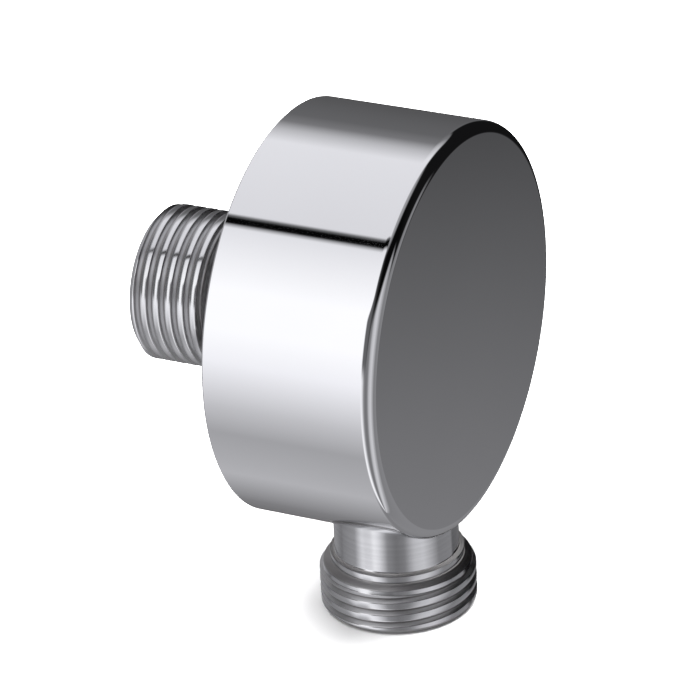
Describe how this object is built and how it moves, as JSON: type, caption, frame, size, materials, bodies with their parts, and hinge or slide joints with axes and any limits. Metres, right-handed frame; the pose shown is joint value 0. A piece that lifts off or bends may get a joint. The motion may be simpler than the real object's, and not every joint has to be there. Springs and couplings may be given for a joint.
{
  "type": "wall outlet elbow",
  "caption": "Round wall elbow for a shower hose: a polished drum with a threaded wall spigot on its back and a threaded hose outlet pointing down.",
  "frame": {"origin": "centre of the drum's back rim, where the wall spigot's axis meets the wall plane", "axes": "+Y runs into the wall along the wall spigot, the flat front faces -Y, and the hose outlet points down along -Z"},
  "size_m": [0.055, 0.044, 0.0693],
  "materials": {
    "polished_chrome": "mirror-polished bright chrome plate on brass",
    "turned_chrome": "fine-turned brass under bright chrome plate",
    "seal_rubber": "matt black moulded rubber"
  },
  "bodies": {
    "root": {"elbow_body": "polished_chrome", "hose_nipple": "turned_chrome", "port_seal": "seal_rubber"}
  },
  "joints": []
}
